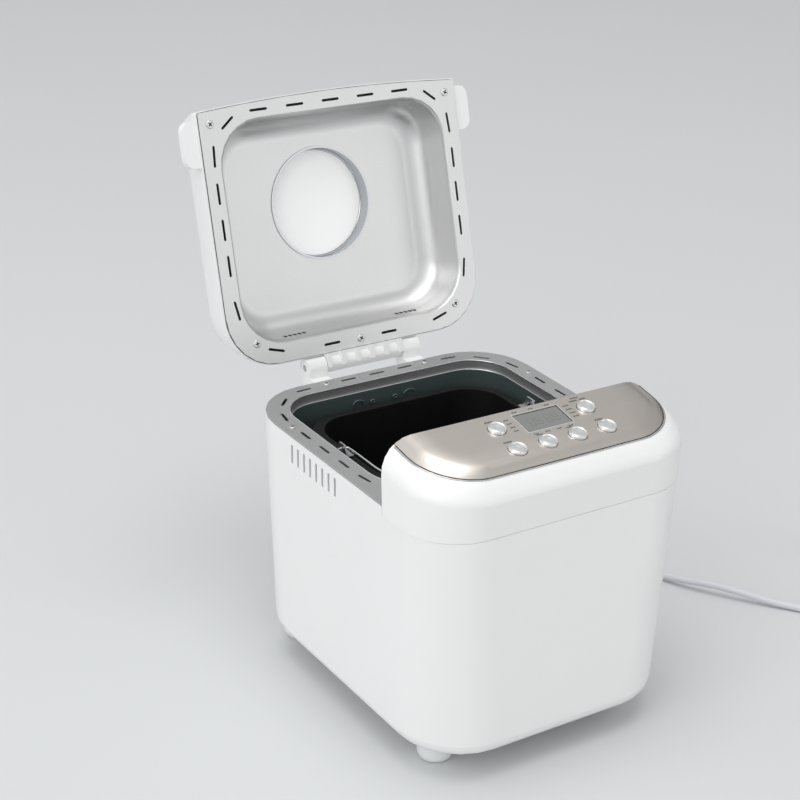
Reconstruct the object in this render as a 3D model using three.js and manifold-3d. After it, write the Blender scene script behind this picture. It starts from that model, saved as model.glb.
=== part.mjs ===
// Bread machine with an open lid: casing, console, oven, bread pan, kneading drive, hinges and mains lead.
// Millimetres, +Z up, standing on its feet at z = 0, with the front (the console) towards -Y.
// Dimensions are in the machine's own frame, whose x = 0 is its middle plane. The whole machine is then
// moved by SHIFT_Y, so that the origin is under the middle of the box that the open machine fills.
import * as THREE from 'three';
import { mergeVertices } from 'three/addons/utils/BufferGeometryUtils.js';
import Module from 'manifold-3d';

const wasm = await Module();
wasm.setup();

// ---------------------------------------------------------------- driving dimensions
const SHIFT_Y = -40.55;              // machine frame to part frame
const GAP = 0.3;                    // clearance between touching pieces
const RIM_Z = 222;                  // top of the rim plate around the oven
const HALF_TOP = 128.4;             // half width of the casing at the rim
const FRONT = -163.4;               // front wall of the casing at the rim
const BACK = 124.6;                 // rear wall of the casing at the rim
const BASE_Z = 11;                  // height at which the casing's lower outline is drawn
const BASE = { w: 119.5, front: -171, back: 118, rf: 57, rb: 60 };    // that lower outline
const BOTTOM_ROUND = 12;            // rounding of the casing's lower edge
const WALL = 2.6;                   // plastic wall thickness
const FOOT_H = 22;                  // height of the feet
const SEAM_Z = 213;                 // parting line between the lower housing and the console
const CONSOLE_Z = 273;              // console's top at its rear edge
const CONSOLE_ROLL = 26;            // radius of the console's shoulders
const SLOPE = 0.19;                 // fall of the control panel towards the front
const PANEL_BACK = -87.2;           // rear edge of the control panel
const CONSOLE_BACK = -92.8;         // rear wall of the console at rim level
const OVEN = { w: 107.8, front: -76.5, back: 106, r: 35, top: 212.6, floor: 60 };
const AXLE_Y = 20;                  // kneading axle, middle of the pan
const MOTOR_Y = -118;               // motor axle
const PAN = { w: 86, d: 62, r: 30, rim: 207.5, floor: 76, wall: 1.5 };
const LID = { w: 128.3, front: -85, back: 134.3, bow: 5, plane: 223.5, base: 224.8, recess: 39 };
const WINDOW = { y: 7.5, r: 48.6 };
const HINGE = { y: 142.8, z: 227.7, pin: 3, angle: 107.5 };
const BUTTON_R = 7.5;
const BUTTON_TRAVEL = 1.2;
const BUTTONS = {
  menu: [-35, -105.4], weight: [-35, -132.8], colour: [-6.4, -132.8],
  timer_down: [22.1, -132.8], timer_up: [50.6, -132.8], start: [50.6, -105.4],
};
const DISPLAY = { x: 7.6, y: -106.3, w: 43, d: 23.6 };
const CORD_R = 3.2;
const LEAD_EXIT = { x: 56, y: 118.9, z: 38 };    // where the mains lead leaves the rear wall

// ---------------------------------------------------------------- materials
const finish = (color, roughness, metalness = 0, more = {}) =>
  new THREE.MeshStandardMaterial({ color, roughness, metalness, ...more });
const WHITE = finish(0xeceeed, 0.32);
const SOFT_WHITE = finish(0xe6e6e4, 0.5);
const ALUMINIUM = finish(0xa9abac, 0.45, 1);
const SATIN = finish(0xc9cacb, 0.35, 1);
const STAINLESS = finish(0xb7b0a8, 0.34, 1);
const OVEN_GREY = finish(0x4c5a58, 0.5, 0.5);
const NON_STICK = finish(0x141414, 0.45);
const STEEL = finish(0xb4b6b8, 0.25, 1);
const BRASS = finish(0xb08d4a, 0.35, 1);
const GLASS = finish(0xf2f4f4, 0.08, 0, { transparent: true, opacity: 0.35 });
const DISPLAY_GREY = finish(0x8c918c, 0.2);
const RUBBER = finish(0x232323, 0.8);
const CERAMIC = finish(0xe3dccb, 0.6);
const BOARD = finish(0x2d6a3e, 0.55);
const DARK_PLASTIC = finish(0x3a3a3c, 0.5);
const CORD_WHITE = finish(0xe4e3ea, 0.45);

// ---------------------------------------------------------------- solids: to and from manifold-3d
function solid(geometry) {
  const bare = geometry.index ? geometry.toNonIndexed() : geometry.clone();
  bare.deleteAttribute('normal');
  bare.deleteAttribute('uv');
  const merged = mergeVertices(bare, 1e-4);
  return new wasm.Manifold(new wasm.Mesh({
    numProp: 3,
    vertProperties: new Float32Array(merged.getAttribute('position').array),
    triVerts: new Uint32Array(merged.index.array),
  }));
}

function shapeOf(body) {
  const mesh = body.getMesh();
  const geometry = new THREE.BufferGeometry();
  geometry.setAttribute('position', new THREE.BufferAttribute(mesh.vertProperties, 3));
  geometry.setIndex(new THREE.BufferAttribute(mesh.triVerts, 1));
  geometry.computeVertexNormals();
  return geometry;
}

const join = (...bodies) => bodies.reduce((a, b) => a.add(b));
const cut = (body, ...tools) => tools.reduce((a, b) => a.subtract(b), body);

// ---------------------------------------------------------------- basic shapes
function box(x0, x1, y0, y1, z0, z1) {
  const geometry = new THREE.BoxGeometry(x1 - x0, y1 - y0, z1 - z0);
  geometry.translate((x0 + x1) / 2, (y0 + y1) / 2, (z0 + z1) / 2);
  return solid(geometry);
}

// A turned piece about a vertical axle at (x, y). The profile is a list of [radius, z], from the bottom up.
function turned(profile, x = 0, y = 0, segments = 24) {
  const geometry = new THREE.LatheGeometry(profile.map(([r, z]) => new THREE.Vector2(r, z)), segments);
  geometry.rotateX(Math.PI / 2);
  geometry.translate(x, y, 0);
  return solid(geometry);
}

const cylinder = (r, z0, z1, x = 0, y = 0, segments = 24) =>
  turned([[0, z0], [r, z0], [r, z1], [0, z1]], x, y, segments);

// A turned piece about an axis along X through (y, z). The profile is a list of [radius, x].
function turnedAlongX(profile, y, z, segments = 20) {
  const geometry = new THREE.LatheGeometry(profile.map(([r, x]) => new THREE.Vector2(r, x)), segments);
  geometry.rotateZ(-Math.PI / 2);
  geometry.translate(0, y, z);
  return solid(geometry);
}

// A turned piece about an axis along Y through (x, z). The profile is a list of [radius, y].
function turnedAlongY(profile, x, z, segments = 20) {
  const geometry = new THREE.LatheGeometry(profile.map(([r, y]) => new THREE.Vector2(r, y)), segments);
  geometry.translate(x, 0, z);
  return solid(geometry);
}

// A vertical prism of a shape in X and Y.
function prism(shape, z0, z1, curveSegments = 6) {
  const geometry = new THREE.ExtrudeGeometry(shape,
    { depth: z1 - z0, bevelEnabled: false, curveSegments });
  geometry.translate(0, 0, z0);
  return solid(geometry);
}

// A prism along X of a profile in Y and Z.
function sideProfile(points, x0, x1) {
  const shape = new THREE.Shape(points.map(([y, z]) => new THREE.Vector2(y, z)));
  const geometry = new THREE.ExtrudeGeometry(shape, { depth: x1 - x0, bevelEnabled: false });
  geometry.applyMatrix4(new THREE.Matrix4().set(0, 0, 1, x0, 1, 0, 0, 0, 0, 1, 0, 0, 0, 0, 0, 1));
  return solid(geometry);
}

// A rod of round section along a path.
function rod(path, radius, steps, sides = 8) {
  const circle = new THREE.Shape();
  circle.absarc(0, 0, radius, 0, 2 * Math.PI, false);
  const section = new THREE.Shape(circle.getPoints(sides).slice(0, sides));
  return solid(new THREE.ExtrudeGeometry(section, { steps, extrudePath: path, bevelEnabled: false }));
}

// Straight lines with rounded corners through a list of points, as one path.
function roundedPath(points, radius) {
  const path = new THREE.CurvePath();
  let from = points[0];
  for (let i = 1; i < points.length - 1; i += 1) {
    const corner = points[i];
    const enter = corner.clone().add(from.clone().sub(corner).setLength(radius));
    const leave = corner.clone().add(points[i + 1].clone().sub(corner).setLength(radius));
    path.add(new THREE.LineCurve3(from, enter));
    path.add(new THREE.QuadraticBezierCurve3(enter, corner, leave));
    from = leave;
  }
  path.add(new THREE.LineCurve3(from, points[points.length - 1]));
  return path;
}

const vec = (x, y, z) => new THREE.Vector3(x, y, z);

// ---------------------------------------------------------------- rounded-rectangle rings and lofts
const CORNER_STEPS = 6;

// One closed ring of points at height z, anticlockwise from above. The front edge may bow outwards.
function ring({ w, front, back, rf, rb, bow = 0, bowSteps = 1 }, z) {
  const points = [];
  const corner = (cx, cy, r, start) => {
    for (let i = 0; i <= CORNER_STEPS; i += 1) {
      const a = start + (i / CORNER_STEPS) * (Math.PI / 2);
      points.push(vec(cx + r * Math.cos(a), cy + r * Math.sin(a), z));
    }
  };
  corner(w - rf, front + rf, rf, -Math.PI / 2);
  corner(w - rb, back - rb, rb, 0);
  corner(-w + rb, back - rb, rb, Math.PI / 2);
  corner(-w + rf, front + rf, rf, Math.PI);
  const half = w - rf;
  for (let i = 1; i < bowSteps; i += 1) {
    const x = -half + (2 * half * i) / bowSteps;
    points.push(vec(x, front - bow * (1 - (x / half) ** 2), z));
  }
  return points;
}

// A closed solid through a stack of rings, from the bottom up. The last ring may rise to a crown.
function loft(rings, crown = 0) {
  const count = rings[0].length;
  const positions = [];
  const face = (a, b, c) => positions.push(...a.toArray(), ...b.toArray(), ...c.toArray());
  for (let k = 0; k + 1 < rings.length; k += 1) {
    for (let i = 0; i < count; i += 1) {
      const j = (i + 1) % count;
      face(rings[k][i], rings[k][j], rings[k + 1][j]);
      face(rings[k][i], rings[k + 1][j], rings[k + 1][i]);
    }
  }
  const middle = (points) => points.reduce((sum, p) => sum.add(p), vec(0, 0, 0)).divideScalar(count);
  const bottom = middle(rings[0]);
  const top = middle(rings[rings.length - 1]);
  top.z += crown;
  for (let i = 0; i < count; i += 1) {
    const j = (i + 1) % count;
    face(rings[0][j], rings[0][i], bottom);
    face(rings[rings.length - 1][i], rings[rings.length - 1][j], top);
  }
  const geometry = new THREE.BufferGeometry();
  geometry.setAttribute('position', new THREE.Float32BufferAttribute(positions, 3));
  return geometry;
}

// A plate or block with a rounded-rectangle outline.
const slab = (spec, z0, z1) => solid(loft([ring(spec, z0), ring(spec, z1)]));

// A stadium-shaped cutter for a ventilation slot, turned by an angle in degrees.
function slotCutter(x, y, length, width, angle, z0, z1) {
  const half = length / 2 - width / 2;
  const shape = new THREE.Shape();
  shape.absarc(half, 0, width / 2, -Math.PI / 2, Math.PI / 2, false);
  shape.absarc(-half, 0, width / 2, Math.PI / 2, 1.5 * Math.PI, false);
  const geometry = new THREE.ExtrudeGeometry(shape,
    { depth: z1 - z0, bevelEnabled: false, curveSegments: 2 });
  geometry.rotateZ(THREE.MathUtils.degToRad(angle));
  geometry.translate(x, y, z0);
  return solid(geometry);
}

// ---------------------------------------------------------------- scene graph
const machine = new THREE.Group();
machine.position.y = SHIFT_Y;
const lidGroup = new THREE.Group();
lidGroup.position.set(0, HINGE.y, HINGE.z);
lidGroup.rotation.x = -THREE.MathUtils.degToRad(HINGE.angle);
machine.add(lidGroup);

// Adds a named piece. A solid is drawn in the machine's frame, and lid pieces as if the lid were shut.
function add(name, body, material, parent = machine) {
  const geometry = shapeOf(body);
  if (parent === lidGroup) {
    geometry.translate(0, -HINGE.y, -HINGE.z);
  }
  const mesh = new THREE.Mesh(geometry, material);
  mesh.name = name;
  parent.add(mesh);
}

// ---------------------------------------------------------------- lower housing, base and feet
function housingRing(z, inset) {
  const t = (z - BASE_Z) / (RIM_Z - BASE_Z);
  const between = (base, rim) => base + (rim - base) * t;
  return ring({ w: between(BASE.w, HALF_TOP) - inset, front: between(BASE.front, FRONT) + inset,
    back: between(BASE.back, BACK) - inset, rf: between(BASE.rf, 48) - inset,
      rb: between(BASE.rb, 53) - inset }, z);
}

function housingBody(thickness, floor, top) {
  const rings = [];
  const round = BOTTOM_ROUND - thickness;
  for (let i = 0; i <= 4; i += 1) {
    const a = (i / 4) * (Math.PI / 2);
    rings.push(housingRing(floor + round * (1 - Math.cos(a)), thickness + round * (1 - Math.sin(a))));
  }
  rings.push(housingRing(top, thickness));
  return solid(loft(rings));
}

function hingeBlock(side) {
  const { y, z } = HINGE;
  const r = 8.5;
  const arc = [];
  for (let i = 0; i <= 6; i += 1) {
    const a = THREE.MathUtils.degToRad(-35 + (i * 215) / 6);
    arc.push([y + r * Math.cos(a), z + r * Math.sin(a)]);
  }
  const outline = [[BACK - WALL, 192], [y - 2, 206], ...arc, [y - r, 220.4], [BACK - WALL, 220.4]];
  return side < 0 ? sideProfile(outline, -57, -39) : sideProfile(outline, 39, 57);
}

const hingeBore = () => turnedAlongX([[0, -70], [HINGE.pin + 0.25, -70], [HINGE.pin + 0.25, 70], [0, 70]],
  HINGE.y, HINGE.z);

function buildHousing() {
  let housing = cut(housingBody(0, FOOT_H, 220.5), housingBody(WALL, FOOT_H + WALL, 232));
  housing = join(housing, hingeBlock(-1), hingeBlock(1));
  housing = cut(housing, hingeBore(), box(-150, 150, -200, CONSOLE_BACK + GAP, SEAM_Z, 232));
  for (let i = 0; i < 8; i += 1) {
    const y = 41.9 - 9.45 * i;
    housing = cut(housing, box(-150, -100, y - 1.5, y + 1.5, 197.5, 214.2),
      box(100, 150, y - 1.5, y + 1.5, 197.5, 214.2));
  }
  for (let i = 0; i < 9; i += 1) {
    const x = -48 + 12 * i;
    housing = cut(housing, box(x - 1.5, x + 1.5, 120, 135, 50, 78));
  }
  housing = cut(housing, box(-62, 62, -100, 60, FOOT_H - 6, FOOT_H + 9));
  housing = cut(housing, turnedAlongY([[0, 100], [6.3, 100], [6.3, 140], [0, 140]], LEAD_EXIT.x,
    LEAD_EXIT.z));
  add('lower_housing', housing, WHITE);

  let cover = box(-62 + GAP, 62 - GAP, -100 + GAP, 60 - GAP, FOOT_H, FOOT_H + WALL);
  for (let i = 0; i < 6; i += 1) {
    cover = cut(cover, slotCutter(0, -70 + 18 * i, 70, 4, 0, FOOT_H - 6, FOOT_H + 9));
  }
  add('base_cover', cover, SOFT_WHITE);

  const corners = { front_left: [-86, -120], front_right: [86, -120], rear_left: [-86, 91],
    rear_right: [86, 91] };
  for (const [place, [x, y]] of Object.entries(corners)) {
    const foot = turned([[0, 0], [10.4, 0], [13.4, 1.4], [14.6, 4.6], [15.6, FOOT_H + 3],
      [0, FOOT_H + 3]], x, y, 20);
    add(`foot_${place}`, cut(foot, housingBody(-GAP, FOOT_H - GAP, 60)), SOFT_WHITE);
  }
}

// ---------------------------------------------------------------- console and control panel
const panelZ = (y) => CONSOLE_Z - SLOPE * (PANEL_BACK - y);
const PANEL_TILT = Math.atan(SLOPE);

// The console's outer form moved in by a thickness, with its top leaning down to the front.
function consoleForm(thickness, bottom) {
  const at = (inset, z) => ring({ w: HALF_TOP + 0.1 - inset, front: FRONT + inset, back: -55,
    rf: 48 - 0.4 * inset, rb: 4 }, z);
  const roll = CONSOLE_ROLL - thickness;
  const rings = [at(thickness, bottom), at(thickness, 232)];
  for (let i = 0; i <= 6; i += 1) {
    const a = (i / 6) * (Math.PI / 2);
    rings.push(at(thickness + roll * (1 - Math.cos(a)), CONSOLE_Z - CONSOLE_ROLL + roll * Math.sin(a)));
  }
  for (const point of rings.flat()) {
    const lean = THREE.MathUtils.clamp((point.z - 232) / (CONSOLE_Z - 232), 0, 1);
    point.z -= SLOPE * (PANEL_BACK - point.y) * lean;
  }
  return solid(loft(rings));
}

// Everything in front of the console's rear wall, which leans back towards its top.
function frontOf(offset) {
  const lean = (PANEL_BACK - CONSOLE_BACK) / (CONSOLE_Z - RIM_Z);
  const wall = (z) => CONSOLE_BACK - offset + lean * (z - RIM_Z);
  return sideProfile([[-180, 190], [wall(190), 190], [wall(300), 300], [-180, 300]], -150, 150);
}

// Places a solid that is drawn on the flat, with z = 0 on the panel's face, at a point of the panel.
function onPanel(body, x, y) {
  const place = new THREE.Matrix4().makeRotationX(PANEL_TILT);
  place.setPosition(x, y, panelZ(y));
  const geometry = shapeOf(body);
  geometry.applyMatrix4(place);
  return solid(geometry);
}

function buildConsole() {
  const outline = { w: 116.6, front: -151.2, back: -60, rf: 46, rb: 2 };
  const seat = { ...outline, w: outline.w + 0.45, front: outline.front - 0.45 };
  const hollow = consoleForm(2.8, 200).intersect(frontOf(2.8));
  let housing = cut(consoleForm(0, SEAM_Z + GAP).intersect(frontOf(0)), hollow);
  housing = cut(housing, cut(slab(seat, 230, 300), consoleForm(1.4, 190)));
  let panel = cut(consoleForm(0.1, 215), consoleForm(1.1, 214));
  panel = panel.intersect(slab(outline, 230, 300)).intersect(frontOf(GAP));

  const window = box(-DISPLAY.w / 2 - 1, DISPLAY.w / 2 + 1, -DISPLAY.d / 2 - 1, DISPLAY.d / 2 + 1, -12,
    12);
  const opening = onPanel(window, DISPLAY.x, DISPLAY.y);
  housing = cut(housing, opening);
  panel = cut(panel, onPanel(box(-DISPLAY.w / 2, DISPLAY.w / 2, -DISPLAY.d / 2, DISPLAY.d / 2, -12, 12),
    DISPLAY.x, DISPLAY.y));
  for (const [x, y] of Object.values(BUTTONS)) {
    const hole = onPanel(cylinder(BUTTON_R + 0.4, -12, 12, 0, 0, 20), x, y);
    housing = cut(housing, hole);
    panel = cut(panel, hole);
  }
  add('console_housing', housing, WHITE);
  add('control_panel', panel, STAINLESS);

  const lens = box(-DISPLAY.w / 2 + GAP, DISPLAY.w / 2 - GAP, -DISPLAY.d / 2 + GAP, DISPLAY.d / 2 - GAP,
    -1.6, -0.5);
  add('display_window', onPanel(lens, DISPLAY.x, DISPLAY.y), DISPLAY_GREY);
  add('display_module', onPanel(box(-21.5, 21.5, -12, 12, -9.8, -1.9), DISPLAY.x, DISPLAY.y),
    DARK_PLASTIC);
  add('control_board', onPanel(box(-56, 56, -31, 12.5, -12.4, -10.8), DISPLAY.x, DISPLAY.y), BOARD);

  for (const [name, [x, y]] of Object.entries(BUTTONS)) {
    const r = BUTTON_R;
    const profile = [[0, -9.2], [2, -9.2], [2, -5.6], [9.2, -5.6], [9.2, -4.2], [r, -4.2], [r, 1.1],
      [r - 0.9, 1.9], [r - 3, 2.4], [0, 2.6]];
    add(`${name}_button`, onPanel(turned(profile, 0, 0, 20), x, y), SATIN);
  }
}

// ---------------------------------------------------------------- rim plate, oven liner and heating
const SLOT_W = 2.6;

function screw(r, length, x, y, z) {
  return turned([[0, z - length], [1.5, z - length], [1.5, z], [r, z], [r * 0.92, z + 0.6],
    [r * 0.5, z + 1], [0, z + 1.1]],
    x, y, 12);
}

function buildOven() {
  const opening = { w: OVEN.w + 0.5, front: OVEN.front - 0.5, back: OVEN.back + 0.5, rf: 36, rb: 36 };
  const lip = { ...opening, w: opening.w + 1.2, front: opening.front - 1.2, back: opening.back + 1.2,
    rf: 37.2, rb: 37.2 };
  const outline = { w: HALF_TOP - 0.6, front: -92.2, back: BACK - 0.9, rf: 1.5, rb: 52 };
  let plate = join(slab(outline, RIM_Z - 1.2, RIM_Z), slab(lip, OVEN.top + 0.6, RIM_Z - 0.6));
  plate = cut(plate, slab(opening, 200, 240));
  const slots = [[117.5, 38.2, 90], [117.4, 9.2, 90], [117.2, -20, 90], [116.2, -48.6, 82],
    [115.2, 76, 101],
    [100.6, 102, 135], [73.8, 115.2, 176], [28.7, 116.6, 180]];
  for (const [x, y, angle] of slots) {
    plate = cut(plate, slotCutter(x, y, 15, SLOT_W, angle, 215, 230),
      slotCutter(-x, y, 15, SLOT_W, -angle, 215, 230));
  }
  plate = cut(plate, slotCutter(0, 116.6, 15, SLOT_W, 0, 215, 230));
  const rimScrews = [[-50.4, 117.4], [50.4, 117.4], [-119, 56.9], [119, 56.9]];
  rimScrews.forEach(([x, y], i) => {
    plate = cut(plate, cylinder(1.9, 210, 230, x, y, 10));
    add(`rim_screw_${i + 1}`, screw(3, 7, x, y, RIM_Z + 0.05), STEEL);
  });
  add('rim_plate', plate, ALUMINIUM);

  const wall = (inset, floor, top) => {
    const rings = [];
    const round = 16 - inset;
    for (let i = 0; i <= 4; i += 1) {
      const a = (i / 4) * (Math.PI / 2);
      const out = inset + 2 + round * (1 - Math.sin(a));
      rings.push(ring({ w: OVEN.w - out, front: OVEN.front + out, back: OVEN.back - out,
        rf: OVEN.r - 0.6 * out,
        rb: OVEN.r - 0.6 * out }, floor + round * (1 - Math.cos(a))));
    }
    rings.push(ring({ w: OVEN.w - inset, front: OVEN.front + inset, back: OVEN.back - inset, rf: OVEN.r,
      rb: OVEN.r }, top));
    return solid(loft(rings));
  };
  const flange = { w: OVEN.w + 4.5, front: OVEN.front - 4.5, back: OVEN.back + 4.5, rf: 39, rb: 39 };
  let liner = join(wall(0, OVEN.floor, OVEN.top - 0.4), slab(flange, OVEN.top - 1.2, OVEN.top));
  liner = cut(liner, wall(1, OVEN.floor + 1, OVEN.top + 3), cylinder(6.2, 50, 70, 0, AXLE_Y));
  const legHole = (x) => turnedAlongY([[0, -95], [3.9, -95], [3.9, -60], [0, -60]], x, 80, 12);
  liner = cut(liner, legHole(-45), legHole(45));
  liner = cut(liner, turnedAlongX([[0, -120], [3.4, -120], [3.4, -95], [0, -95]], AXLE_Y, 150, 12));
  add('oven_liner', liner, OVEN_GREY);

  const z = 80;
  const loop = roundedPath([vec(45, -92, z), vec(45, -64, z), vec(95, -64, z), vec(95, 95, z),
    vec(-95, 95, z),
    vec(-95, -64, z), vec(-45, -64, z), vec(-45, -92, z)], 13);
  add('heating_element', rod(loop, 3.3, 56), STEEL);
  for (const [side, x] of [['left', -45], ['right', 45]]) {
    const profile = [[3.7, -88], [7, -88], [7, -80], [9, -80], [9, -78], [3.7, -78], [3.7, -88]];
    add(`element_bushing_${side}`, turnedAlongY(profile, x, z, 16), CERAMIC);
  }
  add('temperature_sensor', turnedAlongX([[0, -116], [5, -116], [5, -108.4], [3, -108.4], [3, -100],
    [0, -99]],
    AXLE_Y, 150, 14), STEEL);
  const seat = [[41, 61 + GAP], [46, 61 + GAP], [46, 63], [43.5, 64], [43.5, 73], [41, 73],
    [41, 61 + GAP]];
  add('pan_seat', turned(seat, 0, AXLE_Y, 32), STEEL);
}

// ---------------------------------------------------------------- bread pan, handle and kneading paddle
function panWall(inset, floor, top) {
  const rings = [];
  const round = 14 - inset;
  const spec = (grow) => ({ w: PAN.w + grow, front: AXLE_Y - PAN.d - grow, back: AXLE_Y + PAN.d + grow,
    rf: PAN.r + 0.5 * grow, rb: PAN.r + 0.5 * grow });
  for (let i = 0; i <= 4; i += 1) {
    const a = (i / 4) * (Math.PI / 2);
    rings.push(ring(spec(-7 - inset - round * (1 - Math.sin(a))), floor + round * (1 - Math.cos(a))));
  }
  rings.push(ring(spec(-inset), PAN.rim - 2));
  rings.push(ring(spec(-inset + (top > PAN.rim ? 1 : 0)), top));
  return solid(loft(rings));
}

function buildPan() {
  const flange = (grow) => ({ w: PAN.w + grow, front: AXLE_Y - PAN.d - grow, back: AXLE_Y + PAN.d + grow,
    rf: PAN.r + 0.6 * grow, rb: PAN.r + 0.6 * grow });
  const rim = solid(loft([ring(flange(9), PAN.rim - 3.2), ring(flange(9.4), PAN.rim - 2.4),
    ring(flange(9), PAN.rim - 1.4),
    ring(flange(4), PAN.rim)]));
  let pan = join(panWall(-PAN.wall, PAN.floor, PAN.rim - 1), rim);
  pan = cut(pan, panWall(0, PAN.floor + PAN.wall, PAN.rim + 4));
  const foot = [[36.5, 64.5], [39.5, 64.5], [39.5, PAN.floor + 1], [36.5, PAN.floor + 1], [36.5, 64.5]];
  pan = join(pan, turned(foot, 0, AXLE_Y, 32));
  pan = cut(pan, cylinder(8.3, 60, 90, 0, AXLE_Y, 20));
  add('bread_pan', pan, NON_STICK);

  const bush = [[4.3, 71.5], [11, 71.5], [11, PAN.floor - GAP], [8, PAN.floor - GAP], [8, 79], [4.3, 79],
    [4.3, 71.5]];
  add('pan_bush', turned(bush, 0, AXLE_Y, 20), BRASS);
  for (const [side, s] of [['left', -1], ['right', 1]]) {
    const ear = sideProfile([[AXLE_Y - 8, PAN.rim + GAP], [AXLE_Y + 8, PAN.rim + GAP],
      [AXLE_Y + 8, PAN.rim + 2],
      [AXLE_Y + 4, 217.4], [AXLE_Y - 4, 217.4], [AXLE_Y - 8, PAN.rim + 2]], s < 0 ? -94.6 : 93.1,
        s < 0 ? -93.1 : 94.6);
    const foot = box(s < 0 ? -94.6 : 87.5, s < 0 ? -87.5 : 94.6, AXLE_Y - 8, AXLE_Y + 8, PAN.rim + GAP,
      PAN.rim + 1.5);
    const pivotHole = turnedAlongX([[0, -110], [2, -110], [2, 110], [0, 110]], AXLE_Y, 213, 12);
    add(`handle_bracket_${side}`, cut(join(ear, foot), pivotHole), STEEL);
  }
  const z = 213;
  const bends = roundedPath([vec(98.5, AXLE_Y, z), vec(89.2, AXLE_Y, z), vec(88.6, AXLE_Y - 9, z),
    vec(88.6, -30, z),
    vec(62, -58, z), vec(-62, -58, z), vec(-88.6, -30, z), vec(-88.6, AXLE_Y - 9, z),
      vec(-89.2, AXLE_Y, z),
    vec(-98.5, AXLE_Y, z)], 4);
  add('bail_handle', rod(bends, 1.6, 60), STEEL);
}

function buildKneading() {
  const couplingBar = box(-14, 14, AXLE_Y - 3, AXLE_Y + 3, 65.5, 70.5);
  const shaft = join(cylinder(4, 65.5, 101, 0, AXLE_Y, 20), couplingBar);
  const flat = box(2.8, 8, AXLE_Y - 8, AXLE_Y + 8, 84, 110);
  add('pan_shaft', cut(shaft, flat), STEEL);

  let paddle = turned([[0, 79.6], [11, 79.6], [9.5, 84], [8, 103], [6.5, 104.2], [0, 104.2]], 0, AXLE_Y,
    20);
  const blade = new THREE.Shape();
  blade.moveTo(4, -6);
  blade.bezierCurveTo(16, -9, 30, -7, 42, 2);
  blade.bezierCurveTo(45, 5, 43, 8, 40, 7);
  blade.bezierCurveTo(30, 2, 16, 0, 4, 3);
  blade.closePath();
  const fin = new THREE.ExtrudeGeometry(blade, { depth: 16, bevelEnabled: false, curveSegments: 6 });
  fin.rotateX(0.12);
  fin.translate(0, AXLE_Y, 80.5);
  paddle = join(paddle, solid(fin));
  const bore = cut(cylinder(4.35, 70, 101.6, 0, AXLE_Y, 20),
    box(3.15, 8, AXLE_Y - 8, AXLE_Y + 8, 84, 110));
  add('kneading_paddle', cut(paddle, bore), NON_STICK);

  let drive = turned([[0, 25.2], [5, 25.2], [5, 62], [15, 62], [15, 64.6], [0, 64.6]], 0, AXLE_Y, 24);
  drive = join(drive, box(-4, 4, AXLE_Y + 8, AXLE_Y + 14, 63, 70),
    box(-4, 4, AXLE_Y - 14, AXLE_Y - 8, 63, 70));
  add('drive_shaft', drive, STEEL);
  add('drive_bearing', turned([[5.3, 39], [12, 39], [12, 56], [9, OVEN.floor - GAP],
    [5.3, OVEN.floor - GAP], [5.3, 39]],
    0, AXLE_Y, 24), BRASS);
  const groove = [[5.3, 25], [44, 25], [46, 26.4], [44.2, 27], [44.2, 33], [46, 33.6], [44, 35],
    [5.3, 35], [5.3, 25]];
  add('drive_pulley', turned(groove, 0, AXLE_Y, 28), DARK_PLASTIC);
  const small = [[0, 25.2], [10.5, 25.2], [10.5, 26.6], [8.8, 27], [8.8, 33], [10.5, 33.4], [10.5, 35],
    [3, 35],
    [3, 39.4], [0, 39.4]];
  add('motor_pulley', turned(small, 0, MOTOR_Y, 20), STEEL);

  const belt = (r1, r2) => {
    const d = AXLE_Y - MOTOR_Y;
    const a = Math.asin((r1 - r2) / d);
    const shape = new THREE.Shape();
    shape.absarc(0, AXLE_Y, r1, -a, Math.PI + a, false);
    shape.absarc(0, MOTOR_Y, r2, Math.PI + a, 2 * Math.PI - a, false);
    return shape;
  };
  const loop = cut(prism(belt(46, 10.6), 27.4, 32.6, 14), prism(belt(44.5, 9.1), 20, 42, 14));
  add('drive_belt', loop, RUBBER);

  let chassis = box(-72, 72, -150, 88, 36.5 + 2, 38.5 + 2);
  chassis = join(chassis, box(-72, -70.5, -150, 88, 34, 40), box(70.5, 72, -150, 88, 34, 40));
  for (const [x, y] of [[-66, -134], [66, -134], [-66, 82], [66, 82]]) {
    chassis = join(chassis, box(x - 4, x + 4, y - 4, y + 4, FOOT_H + WALL + GAP, 39));
  }
  for (const [x, y] of [[-58, -42], [58, -42], [-58, 74], [58, 74]]) {
    chassis = join(chassis, cylinder(4, 39, OVEN.floor - GAP, x, y, 10));
  }
  chassis = cut(chassis, cylinder(12.4, 30, 48, 0, AXLE_Y), cylinder(6, 30, 48, 0, MOTOR_Y, 16),
    box(-45, 45, -72, -34, 30, 48));
  add('chassis', chassis, STEEL);
  const motor = [[0, 40.9], [31, 40.9], [32, 42], [32, 92], [28, 96], [10, 96], [10, 100], [0, 100]];
  add('motor', cut(turned(motor, 0, MOTOR_Y, 24), cylinder(4, 30, 44, 0, MOTOR_Y, 16)), STEEL);
  add('power_board', box(58, 100, -140, -100, 60, 62), BOARD);
}

// ---------------------------------------------------------------- lid
function lidRing(depth, inset, thickness = 0) {
  const w = LID.w - inset - thickness;
  const rf = 2.5 + 0.7 * inset;
  return ring({ w, front: LID.front + inset + thickness, back: LID.back - inset - thickness, rf,
    rb: 46 - 0.5 * inset,
    bow: LID.bow, bowSteps: 6 }, LID.base + depth);
}

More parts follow.
